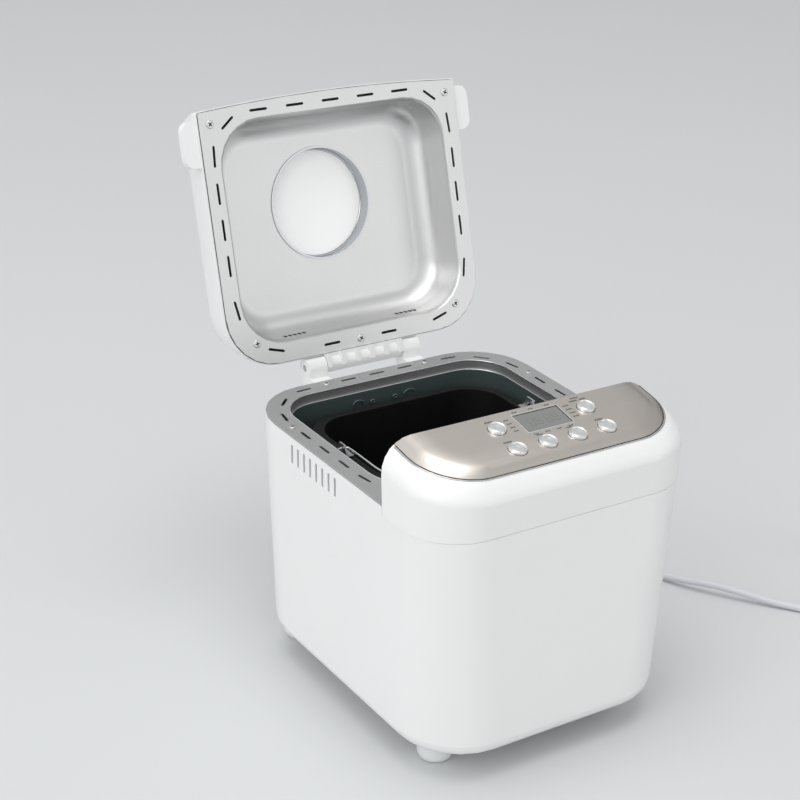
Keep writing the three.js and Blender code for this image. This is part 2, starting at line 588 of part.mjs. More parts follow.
function lidForm(thickness, start) {
  const rings = [lidRing(start, 0, thickness), lidRing(12, 0.6, thickness), lidRing(28, 3.5, thickness)];
  const round = 22;
  for (let i = 1; i <= 5; i += 1) {
    const a = (i / 5) * (Math.PI / 2);
    rings.push(lidRing(28 + (round - thickness) * Math.sin(a), 3.5 + round * (1 - Math.cos(a)),
      thickness));
  }
  rings.push(lidRing(53 - thickness, 62, thickness));
  return solid(loft(rings, 1.5));
}

function thumbTab(side) {
  const shape = new THREE.Shape();
  shape.moveTo(125.5, -78);
  shape.lineTo(134, -78);
  shape.quadraticCurveTo(142, -77, 142, -68);
  shape.lineTo(142, -49);
  shape.quadraticCurveTo(142, -40, 134, -39);
  shape.lineTo(125.5, -39);
  shape.closePath();
  const geometry = new THREE.ExtrudeGeometry(shape, { depth: 7, bevelEnabled: false, curveSegments: 4 });
  geometry.translate(0, 0, LID.base + 1);
  if (side < 0) {
    geometry.applyMatrix4(new THREE.Matrix4().makeRotationZ(Math.PI));
    geometry.translate(0, -117, 0);
  }
  return solid(geometry);
}

function buildLid() {
  let shell = cut(lidForm(0, 0), lidForm(2.4, -5));
  shell = join(shell, thumbTab(-1), thumbTab(1));
  const barrel = turnedAlongX([[0, -38.4], [7.4, -38.4], [7.4, 38.4], [0, 38.4]], HINGE.y, HINGE.z, 24);
  const web = box(-38.4, 38.4, 133.4, HINGE.y, LID.base - 1, 233);
  shell = join(shell, barrel, web);
  for (const x of [-36.4, -21.8, -7.3, 7.3, 21.8, 36.4]) {
    shell = join(shell, box(x - 2, x + 2, 133.4, HINGE.y + 2, 218.6, 226));
  }
  shell = cut(shell, hingeBore(), cylinder(WINDOW.r, 240, 300, 0, WINDOW.y, 48));
  add('lid_shell', shell, WHITE, lidGroup);

  const plateOutline = { w: LID.w - 1.5, front: LID.front + 1.3, back: LID.back - 1.3, rf: 1.6, rb: 45,
    bow: LID.bow,
    bowSteps: 6 };
  const recessRing = (depth, inset) => ring({ w: 109.4 - inset, front: -71.7 + inset, back: 114.5 - inset,
    rf: 38 - 0.6 * inset, rb: 38 - 0.6 * inset }, LID.plane + depth);
  const recess = (thickness, top) => {
    const rings = [recessRing(top, thickness > 0 ? -2 : -3.4)];
    if (thickness === 0) {
      rings.push(recessRing(0.4, -2.2), recessRing(2.6, -0.3));
    }
    rings.push(recessRing(19, 1 - thickness));
    for (let i = 1; i <= 5; i += 1) {
      const a = (i / 5) * (Math.PI / 2);
      rings.push(recessRing(19 + (LID.recess - 19 + thickness) * Math.sin(a),
        1 - thickness + 20 * (1 - Math.cos(a))));
    }
    return solid(loft(rings));
  };
  let liner = join(slab(plateOutline, LID.plane, LID.plane + 1), recess(1, 0.5));
  liner = cut(liner, recess(0, -1), cylinder(WINDOW.r + 0.2, 240, 300, 0, WINDOW.y, 48));
  const slots = [[70.2, -80.4, 0, 17], [35.1, -80.5, 0, 17], [100.6, -72.9, 38, 15],
    [116.8, -46.9, 86, 18],
    [117.6, -16, 90, 18], [117.4, 14.2, 90, 18], [117, 44.5, 90, 18], [115.4, 82.5, 100, 17],
      [83.6, 121.6, 164, 16],
    [29.1, 125.7, 180, 16]];
  for (const [x, y, angle, length] of slots) {
    liner = cut(liner, slotCutter(x, y, length, 2.2, angle, 220, 230),
      slotCutter(-x, y, length, 2.2, -angle, 220, 230));
  }
  liner = cut(liner, slotCutter(0, -80.6, 17, 2.2, 0, 220, 230));
  const screws = [[-116.8, -73.5], [116.8, -73.5], [-101.4, 113], [101.4, 113], [0, 126.2]];
  screws.forEach(([x, y], i) => {
    liner = cut(liner, cylinder(1.9, 220, 230, x, y, 10));
    const head = [[0, LID.plane - 0.9], [1.8, LID.plane - 0.8], [3.3, LID.plane - 0.3],
      [3.4, LID.plane - 0.05],
      [1.5, LID.plane - 0.05], [1.5, LID.plane + 6], [0, LID.plane + 6]];
    add(`lid_screw_${i + 1}`, turned(head, x, y, 12), STEEL, lidGroup);
  });
  add('lid_liner', liner, SATIN, lidGroup);

  const floor = LID.plane + LID.recess;
  const collar = [[47.8, floor - 0.8], [49.6, floor - 0.8], [49.6, floor - GAP], [48.4, floor - GAP],
    [48.4, floor + 11], [46, floor + 11], [46, floor + 10.3], [47.8, floor + 8.5], [47.8, floor - 0.8]];
  add('window_collar', turned(collar, 0, WINDOW.y, 48), SATIN, lidGroup);
  const glass = [[0, floor + 11.4], [48, floor + 11.4], [48, floor + 13.4], [41, floor + 14.6],
    [0, floor + 15.4]];
  add('window_glass', turned(glass, 0, WINDOW.y, 48), GLASS, lidGroup);

  for (const [side, s] of [['left', -1], ['right', 1]]) {
    const [near, far] = s < 0 ? [-56, -24] : [24, 56];
    add(`hinge_pin_${side}`, turnedAlongX([[0, near], [HINGE.pin, near], [HINGE.pin, far], [0, far]],
      HINGE.y, HINGE.z, 16),
      STEEL);
  }
}

// ---------------------------------------------------------------- mains lead
// The lead leaves the lower right of the rear wall, falls to the worktop and runs round to the right.
const LEAD = [
  [56, 149.5, 38], [56.5, 161, 37.3], [60, 174, 34], [68, 187, 27.6], [81, 197.5, 19.6], [97, 204, 12.2],
  [115, 205.5, 7], [134, 202, 4.4], [153, 193.5, 3.6], [171, 180, 3.5], [187, 163.5, 3.5],
    [203, 146, 3.5],
  [217, 127, 3.5], [229, 106, 3.5], [239, 83, 3.5], [246, 59, 3.5], [251, 33, 3.7], [257, 8, 4.6],
    [267, -15, 7.6],
  [281, -37, 9.6], [296, -58, 8.4], [312, -78, 5.4], [328, -97, 3.9], [341.2, -112.2, 3.5],
    [350, -124, 3.5],
  [358.1, -135.1, 3.5],
];
// It meets its coil on a tangent, goes round 2.4 times, and its tail climbs from the upper turn to the plug.
const COIL = { x: 402.3, y: -132.2, inner: 27.9, outer: 41.1, top: 12.6 };
const TAIL = [[436.8, -104.6, 12], [436.8, -100.6, 13.6], [436.8, -96, 15.4], [436.8, -91.4, 17],
  [436.8, -87, 18.4]];
const PLUG = { x: 436.8, y: -86.4, z: 19, r: 18.6 };

function buildLead() {
  const wall = LEAD_EXIT.y + GAP;
  const relief = [[0, wall - 8], [5.9, wall - 8], [5.9, wall], [9, wall], [9, wall + 3], [6.4, wall + 4],
    [5.6, wall + 12], [4.6, wall + 30], [0, wall + 30]];
  add('strain_relief', turnedAlongY(relief, LEAD_EXIT.x, LEAD_EXIT.z, 16), CORD_WHITE);
  const along = (points) => new THREE.CatmullRomCurve3(points.map(([x, y, z]) => vec(x, y, z)), false,
    'centripetal');
  add('power_cord', rod(along(LEAD), CORD_R, 34), CORD_WHITE);
  add('cord_tail', rod(along(TAIL), CORD_R, 4), CORD_WHITE);

  const { inner, outer, top } = COIL;
  const section = [[inner, GAP], [outer, GAP], [outer, 7], [outer - 3, top], [inner + 3, top],
    [inner, 7], [inner, GAP]];
  add('cord_coil', turned(section, COIL.x, COIL.y, 32), CORD_WHITE);
  const band = box(inner - 2.2, outer + 1.6, -4, 4, 0.05, top + 1.4);
  const room = sideProfile([[-9, -5], [9, -5], [9, top + GAP], [-9, top + GAP]], inner - 0.9,
    outer + GAP);
  const tie = shapeOf(cut(band, room));
  tie.rotateZ(THREE.MathUtils.degToRad(-60));
  tie.translate(COIL.x, COIL.y, 0);
  add('cord_tie', solid(tie), DARK_PLASTIC);

  const { x, y, z, r } = PLUG;
  const body = [[0, y], [5, y], [7.5, y + 18], [11, y + 24], [r - 2, y + 30], [r, y + 33], [r, y + 52],
    [r - 1, y + 53],
    [0, y + 53]];
  const pin = (side) => turnedAlongY([[0, y + 50], [2.4, y + 50], [2.4, y + 70], [1.6, y + 72],
    [0, y + 72]],
    x + 9.5 * side, z, 10);
  add('plug', join(turnedAlongY(body, x, z, 24), pin(-1), pin(1)), CORD_WHITE);
}

buildHousing();
buildConsole();
buildOven();
buildPan();
buildKneading();
buildLid();
buildLead();

export default machine;
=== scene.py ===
# %% [markdown]
# # A bread machine with its lid open
# The CAD model comes in as a fixed frame. Every piece shown here either is one of its nodes with a
# finish of its own, or stands for a node and lies exactly where that node lies. All sizes are in metres.

# %% Load the frame
import math

import bmesh
import bpy
from mathutils import Matrix, Vector
from mathutils.bvhtree import BVHTree


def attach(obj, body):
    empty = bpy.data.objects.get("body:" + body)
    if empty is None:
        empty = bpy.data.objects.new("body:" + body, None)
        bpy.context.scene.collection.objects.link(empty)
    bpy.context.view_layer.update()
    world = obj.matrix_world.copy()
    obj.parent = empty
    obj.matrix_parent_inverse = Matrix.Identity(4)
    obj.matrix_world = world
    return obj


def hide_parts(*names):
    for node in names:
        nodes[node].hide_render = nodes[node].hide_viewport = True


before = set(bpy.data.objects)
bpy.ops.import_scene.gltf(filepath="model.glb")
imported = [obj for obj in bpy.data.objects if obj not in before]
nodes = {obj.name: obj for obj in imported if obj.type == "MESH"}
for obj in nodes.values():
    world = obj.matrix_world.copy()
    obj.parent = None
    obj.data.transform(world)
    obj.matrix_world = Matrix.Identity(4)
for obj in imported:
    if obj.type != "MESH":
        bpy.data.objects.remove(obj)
scene = bpy.context.scene
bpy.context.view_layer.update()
MM = 0.001
SHIFT_Y = -40.55 * MM       # the machine's own middle plane, where its route points are counted from


def place(x, y, z):
    """A point in millimetres of the machine's own frame, as metres in the part's frame."""
    return Vector((x * MM, y * MM + SHIFT_Y, z * MM))


# %% [markdown]
# ## The camera
# The view is from the machine's front left and from above, with a long lens, so its upright edges
# hardly lean together. A small roll levels the machine as it was seen.

# %% Camera
YAW, PITCH, ROLL = 0.596, 0.429, 0.046
forward = Vector((math.sin(YAW) * math.cos(PITCH), math.cos(YAW) * math.cos(PITCH), -math.sin(PITCH)))
level = Vector((math.cos(YAW), -math.sin(YAW), 0))
upright = level.cross(forward)
side = math.cos(ROLL) * level + math.sin(ROLL) * upright
top = -math.sin(ROLL) * level + math.cos(ROLL) * upright
lens = bpy.data.cameras.new("camera")
lens.sensor_width = 36
lens.lens = 86.63
camera = bpy.data.objects.new("camera", lens)
scene.collection.objects.link(camera)
turn = Matrix((side, top, -forward)).transposed().to_4x4()
camera.matrix_world = Matrix.Translation(place(-838.1, -1156.6, 894.5)) @ turn
scene.camera = camera
print("camera at", [round(v, 3) for v in camera.location])

# %% [markdown]
# ## The mains lead
# A bread machine has a short lead of about 1.1 m. It comes straight out of its strain relief, falls to
# the worktop and runs round to the right. What is left over lies in a small coil of 2.4 turns: one round
# the outside, then inwards, then up on top, from where the tail climbs to the plug. The lead is one curve,
# because a curve keeps its round section and its length can be measured.

# %% Route of the lead
CORD_RADIUS = 3.2 * MM
LEAD = [
    (56, 149.5, 38), (56.5, 161, 37.3), (60, 174, 34), (68, 187, 27.6), (81, 197.5, 19.6),
    (97, 204, 12.2), (115, 205.5, 7), (134, 202, 4.4), (153, 193.5, 3.6), (171, 180, 3.5),
    (187, 163.5, 3.5), (203, 146, 3.5), (217, 127, 3.5), (229, 106, 3.5), (239, 83, 3.5),
    (246, 59, 3.5), (251, 33, 3.7), (257, 8, 4.6), (267, -15, 7.6), (281, -37, 9.6),
    (296, -58, 8.4), (312, -78, 5.4), (328, -97, 3.9), (341.2, -112.2, 3.5), (350, -124, 3.5),
    (358.1, -135.1, 3.5),
]
TAIL = [
    (436.8, -118, 10.7), (436.8, -104.6, 12.6), (436.8, -100.6, 14), (436.8, -96, 15.8),
    (436.8, -91.4, 17.4), (436.8, -86.7, 18.6),
]
COIL_X, COIL_Y = 402.3, -132.2
COIL_START, COIL_END = -144.7, 720


def ease(t):
    """A smooth step from 0 to 1."""
    t = min(max(t, 0), 1)
    return t * t * (3 - 2 * t)


def coil_point(angle):
    """A point of the coil, angle degrees round it: inwards after one turn, then up on top."""
    radius = 37.7 - 6.6 * ease((angle - 125) / 90) + 3.4 * ease((angle - 460) / 40)
    z = 3.5 + 6.6 * ease((angle - 415) / 55)
    a = math.radians(angle)
    return (COIL_X + radius * math.cos(a), COIL_Y + radius * math.sin(a), z)


steps = round((COIL_END - COIL_START) / 15)
coil = [coil_point(COIL_START + (COIL_END - COIL_START) * i / steps) for i in range(steps + 1)]
route = [place(*p) for p in LEAD + coil + TAIL]
print("the lead has", len(route), "points")


# %% Curves with a round section
def curve_piece(name, points, radius, material, body, cyclic=False, sides=6, steps=6):
    data = bpy.data.curves.new(name, "CURVE")
    data.dimensions = "3D"
    data.bevel_depth = radius
    data.bevel_resolution = sides
    data.resolution_u = steps
    data.use_fill_caps = not cyclic
    data.materials.append(material)
    spline = data.splines.new("BEZIER")
    spline.bezier_points.add(len(points) - 1)
    spline.use_cyclic_u = cyclic
    for knot, point in zip(spline.bezier_points, points):
        knot.co = point
        knot.handle_left_type = knot.handle_right_type = "AUTO"
    piece = bpy.data.objects.new(name, data)
    scene.collection.objects.link(piece)
    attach(piece, body)
    return piece


# %% [markdown]
# ## Shader maths as plain expressions
# Each finish is a small node tree. Wrapping a socket in a class with operators lets a mask be written
# as an expression, and one method makes any other node.


# %% Node helpers
class Value:
    """An output socket that can be used in sums, products and comparisons."""

    def __init__(self, finish, socket):
        self.finish = finish
        self.socket = socket

    def math(self, operation, other=0.5, swap=False):
        pair = (other, self) if swap else (self, other)
        return self.finish.node("ShaderNodeMath", {"operation": operation}, {0: pair[0], 1: pair[1]})

    def __add__(self, other):
        return self.math("ADD", other)

    __radd__ = __add__

    def __mul__(self, other):
        return self.math("MULTIPLY", other)

    __rmul__ = __mul__

    def __sub__(self, other):
        return self.math("SUBTRACT", other)

    def __rsub__(self, other):
        return self.math("SUBTRACT", other, swap=True)

    def __gt__(self, other):
        return self.math("GREATER_THAN", other)


class Finish:
    """A material with one Principled shader, whose even values are set on its own sockets."""

    def __init__(self, name, **even):
        self.material = bpy.data.materials.new(name)
        self.material.use_nodes = True
        self.tree = self.material.node_tree
        self.shader = self.tree.nodes["Principled BSDF"]
        for key, value in even.items():
            self.shader.inputs[key.replace("_", " ")].default_value = value

    def node(self, kind, settings=None, inputs=None, output=0):
        made = self.tree.nodes.new(kind)
        for key, value in (settings or {}).items():
            setattr(made, key, value)
        for key, value in (inputs or {}).items():
            self.join(made.inputs[key], value)
        return Value(self, made.outputs[output])

    def join(self, socket, value):
        if isinstance(value, Value):
            self.tree.links.new(value.socket, socket)
        else:
            socket.default_value = value

    def drive(self, name, value):
        self.join(self.shader.inputs[name], value)

    def here(self):
        return self.node("ShaderNodeTexCoord", output="Object")

    def mapped(self, scale=(1, 1, 1)):
        return self.node("ShaderNodeMapping", {}, {"Vector": self.here(), "Scale": scale})

    def noise(self, size, detail=2.0, where=None):
        """Noise whose blotches are about size metres across."""
        inputs = {"Vector": where or self.mapped(), "Scale": 1 / size, "Detail": detail}
        return self.node("ShaderNodeTexNoise", {}, inputs)

    def blend(self, mask, first, second):
        """The first colour where the mask is 0, and the second where it is 1."""
        inputs = {0: mask, 6: (*first, 1), 7: (*second, 1)}
        return self.node("ShaderNodeMix", {"data_type": "RGBA"}, inputs, output=2)

    def bump(self, height, depth):
        """Relief of the given depth in metres."""
        return self.node("ShaderNodeBump", {}, {"Height": height, "Distance": depth, "Strength": 1.0})


def shade(colour, by):
    return tuple(min(max(c * by, 0), 1) for c in colour)


# %% [markdown]
# ## Moulded plastics
# The casing is white moulded plastic with a soft gloss. Its mould leaves a hardly visible ripple, and
# its gloss is a little uneven over a hand's width, which is what stops large walls from looking flat.

# %% Plastics
def moulded(name, colour, rough, ripple=0.00002, grain=0.0011, coat=0.0):
    made = Finish(name, Coat_Roughness=0.12, Specular_IOR_Level=0.5)
    cloud = made.noise(0.09, 3.0)
    made.drive("Base Color", made.blend(cloud, shade(colour, 0.985), shade(colour, 1.012)))
    fine = made.noise(grain, 2.0)
    made.drive("Roughness", rough + 0.05 * (cloud - 0.5) + 0.04 * (fine - 0.5))
    made.drive("Coat Weight", coat + 0.02 * cloud)
    made.drive("Normal", made.bump(fine, ripple))
    return made.material


WHITE = (0.84, 0.845, 0.835)
casing_white = moulded("casing_white", WHITE, 0.34, coat=0.15)
lid_white = moulded("lid_white", shade(WHITE, 0.99), 0.34, coat=0.15)
foot_white = moulded("foot_white", (0.78, 0.79, 0.785), 0.5, 0.00004)
base_white = moulded("base_white", (0.74, 0.745, 0.74), 0.55, 0.00005)
cord_white = moulded("cord_white", (0.66, 0.66, 0.70), 0.42, 0.00003, 0.0008)
black_plastic = moulded("black_plastic", (0.03, 0.03, 0.032), 0.45, 0.00004)
belt_rubber = moulded("belt_rubber", (0.022, 0.022, 0.022), 0.75, 0.00006, 0.0006)
tie_black = moulded("tie_black", (0.03, 0.03, 0.033), 0.8, 0.00015, 0.0005)
ceramic = moulded("ceramic", (0.74, 0.70, 0.60), 0.35, 0.00003, coat=0.3)
print("plastics made")

# %% [markdown]
# ## Metals
# The control panel is stainless steel, brushed from side to side, so its grain is a noise stretched
# along X. The rim around the oven is plain pressed aluminium with a fine even grain, and the lid's
# liner is satin aluminium.


# %% Metals
def brushed(
    name, colour, rough, along=(6, 700, 700), relief=0.000012, spread=0.16, cloud_size=0.08, form=None
):
    """Brushed metal; form(finish), if given, is a height in metres that is added to its grain."""
    made = Finish(name, Metallic=1.0)
    streak = made.noise(1.0, 3.0, made.mapped(along))
    cloud = made.noise(cloud_size, 2.0)
    made.drive("Base Color", made.blend(streak, shade(colour, 0.93), shade(colour, 1.05)))
    made.drive("Roughness", rough + spread * (streak - 0.5) + 0.05 * (cloud - 0.5))
    height = streak * relief
    made.drive("Normal", made.bump(height + form(made) if form else height, 1.0))
    return made.material


# %% The control panel's pressed form
PANEL_HALF, PANEL_FRONT, PANEL_CORNER = 0.1166, -0.1512 + SHIFT_Y, 0.046
PANEL_ROLL, PANEL_FALL = 0.030, 0.22        # width of the rolled band, and half its slope at the edge
PANEL_CROWN = 0.2


def panel_form(made):
    """The panel's face is slightly crowned, and it turns down towards its front and side edges."""
    across = made.node("ShaderNodeSeparateXYZ", {}, {"Vector": made.here()}, output="X")
    along = made.node("ShaderNodeSeparateXYZ", {}, {"Vector": made.here()}, output="Y")
    out_x = (across.math("ABSOLUTE") - (PANEL_HALF - PANEL_CORNER)).math("MAXIMUM", 0)
    out_y = (PANEL_FRONT + PANEL_CORNER - along).math("MAXIMUM", 0)
    reach = (out_x * out_x + out_y * out_y).math("SQRT")
    over = (reach - (PANEL_CORNER - PANEL_ROLL)).math("MAXIMUM", 0)
    return -PANEL_CROWN * across * across - (PANEL_FALL / PANEL_ROLL) * over * over


# %% Metals by name
panel_steel = brushed(
    "panel_steel", (0.67, 0.625, 0.575), 0.36, along=(5, 1500, 1500), relief=0.000004, spread=0.12,
    form=panel_form,
)
rim_aluminium = brushed(
    "rim_aluminium", (0.53, 0.53, 0.53), 0.5, along=(900, 900, 900), relief=0.0001, spread=0.25
)
lid_aluminium = brushed(
    "lid_aluminium", (0.72, 0.72, 0.715), 0.42, along=(900, 900, 900), spread=0.08
)
collar_steel = brushed("collar_steel", (0.50, 0.52, 0.54), 0.22, along=(40, 40, 900), spread=0.1)
frame_bright = brushed("frame_bright", (0.86, 0.86, 0.85), 0.35, along=(300, 300, 300))
trim_steel = brushed("trim_steel", (0.62, 0.61, 0.60), 0.25, along=(300, 300, 300))
bright_steel = brushed("bright_steel", (0.60, 0.61, 0.62), 0.24, along=(500, 500, 500), spread=0.08)
screw_steel = brushed("screw_steel", (0.66, 0.66, 0.65), 0.3, along=(1200, 1200, 1200), spread=0.1)
element_steel = brushed("element_steel", (0.26, 0.25, 0.245), 0.4, along=(400, 400, 400), spread=0.2)
bearing_bronze = brushed("bearing_bronze", (0.50, 0.36, 0.17), 0.35, along=(600, 600, 600))
zinc_sheet = brushed("zinc_sheet", (0.48, 0.49, 0.50), 0.42, along=(60, 60, 60), spread=0.25)
print("metals made")


# %% [markdown]
# ## Coatings, display and glass
# The oven's liner has a dark grey-green heat-resistant coat, and the pan a black non-stick one with a
# fine speckle. The display is a grey liquid-crystal window, and the lid's window is a pale disc with a
# faint painted glow, which stands in for the light that shines through it from behind.

# %% Coatings
def coated(name, colour, rough, speckle, metallic=0.0, relief=0.00003, gloss=0.5):
    made = Finish(name, Metallic=metallic, Specular_IOR_Level=gloss)
    grain = made.noise(0.0009, 3.0)
    cloud = made.noise(0.05, 3.0)
    made.drive("Base Color", made.blend(grain > 0.62, colour, shade(colour, speckle)))
    made.drive("Roughness", rough + 0.12 * (grain - 0.5) + 0.06 * (cloud - 0.5))
    made.drive("Normal", made.bump(grain, relief))
    return made.material


oven_coat = coated("oven_coat", (0.085, 0.118, 0.112), 0.34, 1.2, 0.35)
non_stick = coated("non_stick", (0.003, 0.003, 0.003), 0.6, 2.0, gloss=0.2)
# A near-black finish that is painted shade: it goes on screw crosses, joint strips and slots, where the
# darkness is shade in a hollow or gap.
hollow_painted_shade = coated("hollow_painted_shade", (0.05, 0.05, 0.052), 0.6, 1.4)
board_green = coated("board_green", (0.03, 0.14, 0.06), 0.45, 1.3)

display = Finish("display_grey", Roughness=0.22, Coat_Weight=0.6, Coat_Roughness=0.05)
cells = display.noise(0.0006, 1.0)
display.drive("Base Color", display.blend(cells, (0.195, 0.20, 0.19), (0.215, 0.22, 0.21)))
display_grey = display.material

# The window's emission is painted light: a faint glow in place of light coming through the glass.
window = Finish("window_painted_glow", Roughness=0.3, Specular_IOR_Level=0.3, Emission_Strength=0.15)
window.shader.inputs["Emission Color"].default_value = (1, 1, 0.99, 1)
haze = window.noise(0.03, 2.0)
window.drive("Base Color", window.blend(haze, (0.89, 0.89, 0.885), (0.91, 0.91, 0.905)))
window_painted_glow = window.material
segment_grey = moulded("segment_grey", (0.185, 0.19, 0.18), 0.3, 0.00001)
mark_ink = moulded("mark_ink", (0.10, 0.10, 0.105), 0.5, 0.00001)
print("coatings made")

# %% [markdown]
# ## Node by node
# A CAD node is a soup of loose triangles. Where its shape is right as it is, a copy is merged, its flat
# faces are joined up, and smooth shading with sharp edges kept makes its curves read as curves. A narrow
# bevel on the sharp edges catches the light as a moulded or pressed edge does.


# %% Smooth-shaded objects and refined copies of CAD nodes
def smooth_object(name, bm, sharp, materials):
    """An object of a bmesh, smooth except along edges sharper than the given angle in degrees."""
    mesh = bpy.data.meshes.new(name)
    bm.to_mesh(mesh)
    bm.free()
    for face in mesh.polygons:
        face.use_smooth = True
    mesh.set_sharp_from_angle(angle=math.radians(sharp))
    for material in materials:
        mesh.materials.append(material)
    made = bpy.data.objects.new(name, mesh)
    scene.collection.objects.link(made)
    return made


SAME_POINT = 0.00001
FLAT_ENOUGH = math.radians(0.4)
NODE_SHARP, NEW_SHARP = 32, 35


def refined(node, body, slot, material, edge):
    """A copy that stands for a node, with one finish and, if edge isn't 0, a bevel of that width."""
    bm = bmesh.new()
    bm.from_mesh(nodes[node].data)
    bmesh.ops.remove_doubles(bm, verts=bm.verts, dist=SAME_POINT)
    bmesh.ops.dissolve_limit(bm, angle_limit=FLAT_ENOUGH, verts=bm.verts, edges=bm.edges)
    for face in bm.faces:
        face.material_index = 0
    piece = smooth_object(node + "_finished", bm, NODE_SHARP, [material])
    if edge:
        bevel = piece.modifiers.new("edges", "BEVEL")
        bevel.width = edge
        bevel.segments = 2
        bevel.limit_method = "ANGLE"
        bevel.angle_limit = math.radians(50)
        bevel.use_clamp_overlap = True
    weighted = piece.modifiers.new("normals", "WEIGHTED_NORMAL")
    weighted.keep_sharp = True
    weighted.weight = 80
    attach(piece, body)
    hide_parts(node)
    return piece


# Each node's body, slot, finish and the width of its bevel in metres.
SHOWN = {
    "lower_housing": ("housing", "housing", casing_white, 0.00015),
    "base_cover": ("housing", "base", base_white, 0.0003),
    "console_housing": ("housing", "housing", casing_white, 0.00015),
    "control_panel": ("housing", "panel", panel_steel, 0.0003),
    "display_window": ("housing", "display", display_grey, 0.0002),
    "display_module": ("housing", "module", black_plastic, 0.0),
    "control_board": ("housing", "board", board_green, 0.0),
    "power_board": ("housing", "board", board_green, 0.0),
    "rim_plate": ("housing", "rim", rim_aluminium, 0.0002),
    "oven_liner": ("housing", "liner", oven_coat, 0.0002),
    "pan_seat": ("housing", "steel", bright_steel, 0.0),
    "heating_element": ("housing", "element", element_steel, 0.0),
    "element_bushing_left": ("housing", "ceramic", ceramic, 0.0),
    "element_bushing_right": ("housing", "ceramic", ceramic, 0.0),
    "temperature_sensor": ("housing", "element", bright_steel, 0.0),
    "drive_bearing": ("housing", "bearing", bearing_bronze, 0.0),
    "chassis": ("housing", "chassis", zinc_sheet, 0.0),
    "motor": ("housing", "chassis", zinc_sheet, 0.0),
    "drive_belt": ("housing", "belt", belt_rubber, 0.0),
    "hinge_pin_left": ("housing", "steel", bright_steel, 0.0),
    "hinge_pin_right": ("housing", "steel", bright_steel, 0.0),
    "strain_relief": ("housing", "cord", cord_white, 0.0),
    "cord_tie": ("housing", "tie", tie_black, 0.0003),
    "plug": ("housing", "cord", cord_white, 0.0004),
    "lid_shell": ("lid", "lid", lid_white, 0.0005),
    "lid_liner": ("lid", "lid_liner", lid_aluminium, 0.0002),
    "window_collar": ("lid", "lid_liner", collar_steel, 0.0),
    "window_glass": ("lid", "glass", window_painted_glow, 0.0),
    "bread_pan": ("pan", "pan", non_stick, 0.0003),
    "pan_bush": ("pan", "bearing", bearing_bronze, 0.0),
    "handle_bracket_left": ("pan", "steel", zinc_sheet, 0.0003),
    "handle_bracket_right": ("pan", "steel", zinc_sheet, 0.0003),
    "bail_handle": ("bail", "steel", bright_steel, 0.0),
    "pan_shaft": ("pan_shaft", "steel", bright_steel, 0.0),
    "kneading_paddle": ("paddle", "pan", non_stick, 0.0005),
    "drive_shaft": ("drive", "steel", bright_steel, 0.0),
    "drive_pulley": ("drive", "pulley", black_plastic, 0.0),
    "motor_pulley": ("motor_rotor", "steel", bright_steel, 0.0),
}
for corner in ("front_left", "front_right", "rear_left", "rear_right"):
    SHOWN[f"foot_{corner}"] = ("housing", "feet", foot_white, 0.0)

for node, settings in SHOWN.items():
    refined(node, *settings)

# %% The lead
lead = curve_piece("mains_lead", route, CORD_RADIUS, cord_white, "housing")
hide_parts("power_cord", "cord_coil", "cord_tail")
place(56, 149.2, 38)

# %% [markdown]
# ## New pieces
# Small pieces that the frame has only in a plain form are made afresh. Every one of them starts as a
# bmesh, is moved to its place, and becomes a mesh whose object stays at the origin. One helper does the
# last steps: normals out, smooth shading with sharp edges kept, a finish, and the body it rides on.


# %% Finishing a new piece
def new_piece(name, bm, body, slot, *materials, stands_for=()):
    bmesh.ops.recalc_face_normals(bm, faces=bm.faces)
    piece = smooth_object(name, bm, NEW_SHARP, materials)
    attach(piece, body)
    if stands_for:
        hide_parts(*stands_for)


def block(bm, low, high, place_matrix):
    """A plain bar between two corners in millimetres, drawn flat and moved by a matrix."""
    size = [(h - l) * MM for l, h in zip(low, high)]
    middle = [(h + l) / 2 * MM for l, h in zip(low, high)]
    matrix = place_matrix @ Matrix.Translation(middle) @ Matrix.Diagonal((*size, 1))
    bmesh.ops.create_cube(bm, size=1, matrix=matrix)


def lathe(profile, steps=40):
    """A closed turned body about Z from (radius, height) points in millimetres."""
    bm = bmesh.new()
    verts = [bm.verts.new((r * MM, 0, z * MM)) for r, z in profile]
    edges = [bm.edges.new(pair) for pair in zip(verts, verts[1:])]
    bmesh.ops.spin(
        bm, geom=verts + edges, cent=(0, 0, 0), axis=(0, 0, 1), angle=math.tau, steps=steps, use_merge=True
    )
    bmesh.ops.remove_doubles(bm, verts=bm.verts, dist=0.000001)
    return bm


# %% [markdown]
# ## Where the sloping and the turned parts lie
# The control panel leans to the front, and the lid stands open at rest. Two matrices carry a shape that
# is drawn flat onto them: one to a point of the panel's face, one from the shut lid to the open lid.

# %% Places on the panel and on the lid
SLOPE = 0.19
PANEL_BACK, CONSOLE_Z = -87.2, 273
HINGE_Y, HINGE_Z, LID_ANGLE = 142.8, 227.7, 107.5


def on_panel(x, y):
    """The matrix that takes a shape from the flat, with z = 0 on the face, to the panel."""
    spot = place(x, y, CONSOLE_Z - SLOPE * (PANEL_BACK - y))
    return Matrix.Translation(spot) @ Matrix.Rotation(math.atan(SLOPE), 4, "X")


hinge_spot = place(0, HINGE_Y, HINGE_Z)
open_lid = (
    Matrix.Translation(hinge_spot)
    @ Matrix.Rotation(-math.radians(LID_ANGLE), 4, "X")
    @ Matrix.Translation(-hinge_spot)
)
print("the lid turns about", [round(v, 4) for v in hinge_spot])

# %% [markdown]
# ## Screws with a cross recess
# The rim and the lid's liner are held by small cross-head screws. A head is a disc; cutting it along
# eight lines makes the cross a group of faces, which is pushed down, and the outer edge is rounded.


